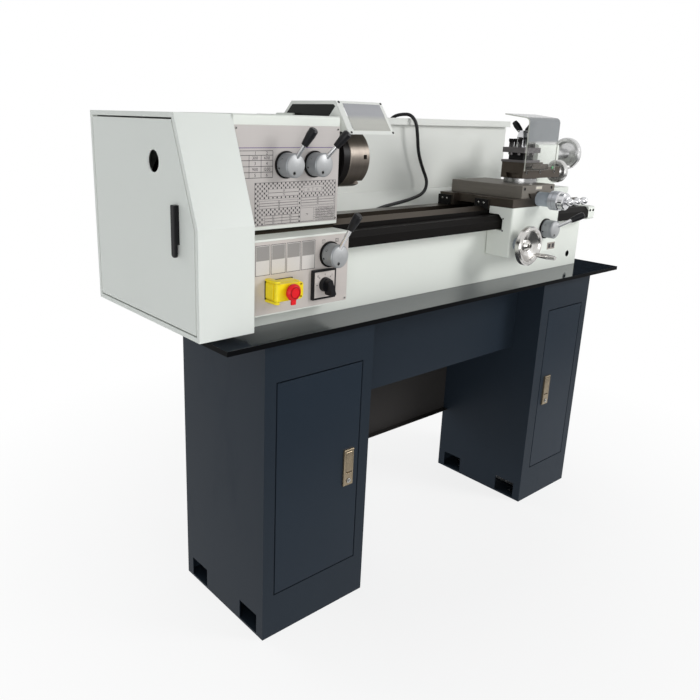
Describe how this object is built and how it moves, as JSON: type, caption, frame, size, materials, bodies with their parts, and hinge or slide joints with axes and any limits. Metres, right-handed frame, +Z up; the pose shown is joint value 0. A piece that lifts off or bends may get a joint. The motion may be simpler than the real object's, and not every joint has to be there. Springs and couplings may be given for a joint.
{
  "type": "bench lathe on cabinet stand",
  "caption": "Metalworking bench lathe with headstock, chuck, carriage, compound slide, tailstock, splash guard and chip tray on a stand of two cabinets with hinged doors.",
  "frame": {"origin": "on the floor at the centre of the four outer anchor holes of the stand", "axes": "+X from headstock to tailstock along the bed, +Y away from the operator, +Z up"},
  "size_m": [1.4337, 0.5132, 1.123],
  "materials": {
    "casting_white": "semi-gloss warm white paint over castings",
    "sheet_white": "semi-gloss warm white paint on folded sheet",
    "cabinet_navy": "satin charcoal blue powder coat",
    "tray_blue": "glossy dark blue-grey paint",
    "ground_steel": "ground steel and iron",
    "turned_steel": "turned and polished steel",
    "wheel_chrome": "polished",
    "plate_silver": "printed satin sheet",
    "lever_grey": "turned hubs with black grips",
    "black_plastic": "moulded",
    "box_white": "moulded box",
    "black_sheet": "satin black",
    "estop_yellow": "moulded",
    "estop_red": "moulded",
    "clear": "clear sheet",
    "rubber_black": "flexible"
  },
  "bodies": {
    "frame": {"left_cabinet": "cabinet_navy", "right_cabinet": "cabinet_navy", "stand_panels": "cabinet_navy", "chip_tray": "tray_blue", "bed": "casting_white", "leadscrew_guard": "black_sheet", "leadscrew_bracket": "casting_white", "headstock": "casting_white", "gearbox": "casting_white", "control_plates": "plate_silver", "end_cover": "sheet_white", "spindle_bearings": "black_sheet", "motor": "sheet_white", "drive_belt": "rubber_black", "guard_bracket": "turned_steel", "estop_base": "estop_yellow", "switch_plate": "black_plastic", "splash_guard": "sheet_white", "electrics_box": "box_white", "guard_cable": "rubber_black", "cable_glands": "black_plastic"},
    "spindle": {"spindle": "turned_steel", "spindle_drive": "ground_steel", "chuck": "turned_steel"},
    "jaw_1": {"chuck_jaw_1": "turned_steel"},
    "jaw_2": {"chuck_jaw_2": "turned_steel"},
    "jaw_3": {"chuck_jaw_3": "turned_steel"},
    "motor_pulley": {"motor_pulley": "ground_steel"},
    "idler": {"idler_gear": "ground_steel"},
    "leadscrew": {"leadscrew": "turned_steel", "leadscrew_gear": "ground_steel"},
    "cover_door": {"cover_door": "sheet_white"},
    "left_door": {"left_door": "cabinet_navy"},
    "left_latch": {"left_latch": "wheel_chrome"},
    "right_door": {"right_door": "cabinet_navy"},
    "right_latch": {"right_latch": "wheel_chrome"},
    "speed_lever_left": {"speed_lever_left": "lever_grey"},
    "speed_lever_right": {"speed_lever_right": "lever_grey"},
    "feed_lever": {"feed_lever": "lever_grey"},
    "estop_lid": {"estop_lid": "estop_yellow"},
    "estop_button": {"estop_button": "estop_red"},
    "switch_knob": {"switch_knob": "black_plastic"},
    "chuck_guard": {"chuck_guard": "sheet_white", "chuck_guard_window": "clear"},
    "carriage": {"saddle": "ground_steel", "apron": "casting_white"},
    "carriage_handwheel": {"carriage_handwheel": "wheel_chrome"},
    "half_nut_lever": {"half_nut_lever": "lever_grey"},
    "cross_slide": {"cross_slide": "ground_steel"},
    "cross_feed_crank": {"cross_feed_crank": "wheel_chrome"},
    "compound_base": {"compound_base": "ground_steel"},
    "compound_slide": {"compound_slide": "ground_steel", "tool_shield": "clear"},
    "compound_handwheel": {"compound_handwheel": "wheel_chrome"},
    "tool_post": {"tool_post": "ground_steel"},
    "tool_clamp": {"tool_clamp": "turned_steel"},
    "tailstock": {"tailstock": "casting_white"},
    "quill": {"quill": "turned_steel"},
    "tailstock_handwheel": {"tailstock_handwheel": "wheel_chrome"},
    "tailstock_lever": {"tailstock_lever": "lever_grey"}
  },
  "joints": [
    {"name": "spindle_spin", "type": "hinge", "parent": "frame", "child": "spindle", "pos_m": [-0.36, -0.005, 1.006], "axis": [1, 0, 0], "continuous": true},
    {"name": "motor_spin", "type": "hinge", "parent": "frame", "child": "motor_pulley", "pos_m": [-0.679, 0.19, 0.83], "axis": [1, 0, 0], "continuous": true},
    {"name": "idler_spin", "type": "hinge", "parent": "frame", "child": "idler", "pos_m": [-0.648, -0.04405, 0.9227], "axis": [1, 0, 0], "continuous": true},
    {"name": "leadscrew_spin", "type": "hinge", "parent": "frame", "child": "leadscrew", "pos_m": [-0.648, -0.107, 0.845], "axis": [1, 0, 0], "continuous": true},
    {"name": "jaw_1_slide", "type": "slide", "parent": "spindle", "child": "jaw_1", "axis": [0, -0.4384, 0.8988], "range_m": [-0.013, 0.008]},
    {"name": "jaw_2_slide", "type": "slide", "parent": "spindle", "child": "jaw_2", "axis": [0, -0.5592, -0.829], "range_m": [-0.013, 0.008]},
    {"name": "jaw_3_slide", "type": "slide", "parent": "spindle", "child": "jaw_3", "axis": [0, 0.9976, -0.0698], "range_m": [-0.013, 0.008]},
    {"name": "cover_door_hinge", "type": "hinge", "parent": "frame", "child": "cover_door", "pos_m": [-0.7287, 0.242, 0.8955], "axis": [0, 0, -1], "range_deg": [0, 100]},
    {"name": "left_door_hinge", "type": "hinge", "parent": "frame", "child": "left_door", "pos_m": [-0.5555, -0.149, 0.345], "axis": [0, 0, -1], "range_deg": [0, 100]},
    {"name": "right_door_hinge", "type": "hinge", "parent": "frame", "child": "right_door", "pos_m": [0.556, -0.149, 0.345], "axis": [0, 0, 1], "range_deg": [0, 100]},
    {"name": "left_latch_pivot", "type": "hinge", "parent": "left_door", "child": "left_latch", "pos_m": [-0.362, -0.1575, 0.3798], "axis": [-1, 0, 0], "range_deg": [0, 45], "stiffness_Nm_per_rad": 0.05, "springref_deg": -5.73},
    {"name": "right_latch_pivot", "type": "hinge", "parent": "right_door", "child": "right_latch", "pos_m": [0.424, -0.1575, 0.3798], "axis": [-1, 0, 0], "range_deg": [0, 45], "stiffness_Nm_per_rad": 0.05, "springref_deg": -5.73},
    {"name": "speed_lever_left_turn", "type": "hinge", "parent": "frame", "child": "speed_lever_left", "pos_m": [-0.498, -0.0865, 1], "axis": [0, -1, 0], "range_deg": [0, 90]},
    {"name": "speed_lever_right_turn", "type": "hinge", "parent": "frame", "child": "speed_lever_right", "pos_m": [-0.427, -0.0865, 1], "axis": [0, -1, 0], "range_deg": [0, 50]},
    {"name": "feed_lever_turn", "type": "hinge", "parent": "frame", "child": "feed_lever", "pos_m": [-0.4247, -0.1395, 0.8277], "axis": [0, -1, 0], "range_deg": [0, 60]},
    {"name": "estop_lid_hinge", "type": "hinge", "parent": "frame", "child": "estop_lid", "pos_m": [-0.5775, -0.1692, 0.77475], "axis": [0, 0, -1], "range_deg": [0, 100]},
    {"name": "estop_button_push", "type": "slide", "parent": "estop_lid", "child": "estop_button", "axis": [0, 1, 0], "range_m": [0, 0.004], "stiffness_N_per_m": 800, "springref_m": -0.002},
    {"name": "switch_turn", "type": "hinge", "parent": "frame", "child": "switch_knob", "pos_m": [-0.441, -0.1465, 0.7695], "axis": [0, -1, 0], "range_deg": [0, 90]},
    {"name": "chuck_guard_hinge", "type": "hinge", "parent": "frame", "child": "chuck_guard", "pos_m": [-0.345, 0.118, 1.084], "axis": [-1, 0, 0], "range_deg": [0, 70]},
    {"name": "carriage_slide", "type": "slide", "parent": "frame", "child": "carriage", "axis": [1, 0, 0], "range_m": [-0.35, 0.03]},
    {"name": "carriage_handwheel_turn", "type": "hinge", "parent": "carriage", "child": "carriage_handwheel", "pos_m": [0.19, -0.159, 0.796], "axis": [0, 1, 0], "range_deg": [-1810, 160]},
    {"name": "half_nut_lever_turn", "type": "hinge", "parent": "carriage", "child": "half_nut_lever", "pos_m": [0.312, -0.159, 0.826], "axis": [0, 1, 0], "range_deg": [0, 40]},
    {"name": "cross_feed_turn", "type": "hinge", "parent": "carriage", "child": "cross_feed_crank", "pos_m": [0.2725, -0.157, 0.9048], "axis": [0, 1, 0], "range_deg": [-7180, 880]},
    {"name": "cross_slide_travel", "type": "slide", "parent": "carriage", "child": "cross_slide", "axis": [0, 1, 0], "range_m": [-0.04, 0.005]},
    {"name": "compound_swivel", "type": "hinge", "parent": "cross_slide", "child": "compound_base", "pos_m": [0.29, -0.083, 0.9389], "axis": [0, 0, 1], "range_deg": [-50, 0]},
    {"name": "compound_travel", "type": "slide", "parent": "compound_base", "child": "compound_slide", "axis": [1, 0, 0], "range_m": [-0.03, 0.03]},
    {"name": "compound_handwheel_turn", "type": "hinge", "parent": "compound_slide", "child": "compound_handwheel", "pos_m": [0.463, -0.083, 0.9641], "axis": [-1, 0, 0], "range_deg": [-5390, 5390]},
    {"name": "tool_post_turn", "type": "hinge", "parent": "compound_slide", "child": "tool_post", "pos_m": [0.283, -0.083, 0.9923], "axis": [0, 0, 1], "continuous": true},
    {"name": "tool_clamp_turn", "type": "hinge", "parent": "compound_slide", "child": "tool_clamp", "pos_m": [0.283, -0.083, 1.0293], "axis": [0, 0, 1], "range_deg": [0, 90]},
    {"name": "tailstock_slide", "type": "slide", "parent": "frame", "child": "tailstock", "axis": [1, 0, 0], "range_m": [-0.045, 0.05]},
    {"name": "tailstock_handwheel_turn", "type": "hinge", "parent": "tailstock", "child": "tailstock_handwheel", "pos_m": [0.632, -0.005, 1.006], "axis": [-1, 0, 0], "range_deg": [0, 7180]},
    {"name": "quill_travel", "type": "slide", "parent": "tailstock", "child": "quill", "axis": [-1, 0, 0], "range_m": [0, 0.06]},
    {"name": "tailstock_lever_turn", "type": "hinge", "parent": "tailstock", "child": "tailstock_lever", "pos_m": [0.48, 0.032, 0.9912], "axis": [0, 1, 0], "range_deg": [0, 60]}
  ],
  "couplings": [
    {"joint": "motor_spin", "follows": "spindle_spin", "ratio": 1.8667},
    {"joint": "idler_spin", "follows": "spindle_spin", "ratio": -0.48387},
    {"joint": "leadscrew_spin", "follows": "spindle_spin", "ratio": 0.78947},
    {"joint": "jaw_2_slide", "follows": "jaw_1_slide", "ratio": 1},
    {"joint": "jaw_3_slide", "follows": "jaw_1_slide", "ratio": 1},
    {"joint": "carriage_handwheel_turn", "follows": "carriage_slide", "rad_per_m": 89.76},
    {"joint": "cross_slide_travel", "follows": "cross_feed_turn", "m_per_rad": 0.00031831},
    {"joint": "compound_travel", "follows": "compound_handwheel_turn", "m_per_rad": -0.00031831},
    {"joint": "quill_travel", "follows": "tailstock_handwheel_turn", "m_per_rad": 0.00047746}
  ]
}
